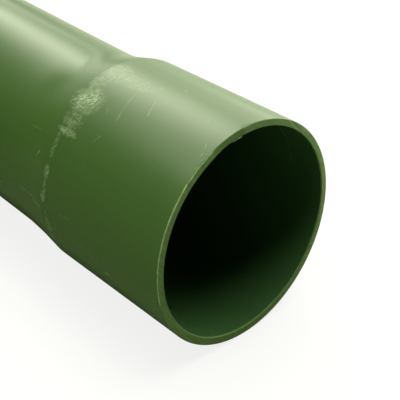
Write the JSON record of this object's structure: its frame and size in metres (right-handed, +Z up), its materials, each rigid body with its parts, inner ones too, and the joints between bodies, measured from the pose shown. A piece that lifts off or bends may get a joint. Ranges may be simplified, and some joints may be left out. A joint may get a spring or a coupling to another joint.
{
  "type": "pvc electrical conduit",
  "caption": "Rigid PVC electrical conduit, one 3 m length of green round pipe with a belled socket at one end and a plain cut spigot at the other.",
  "frame": {"origin": "centre of the socket's mouth, on the pipe's axis", "axes": "+X along the axis, out of the socket's mouth; the pipe runs to -X and lies level, +Z up"},
  "size_m": [3, 0.123, 0.1234],
  "materials": {
    "pvc_green": "satin extruded rigid PVC, green"
  },
  "bodies": {
    "root": {"conduit": "pvc_green"}
  },
  "joints": []
}
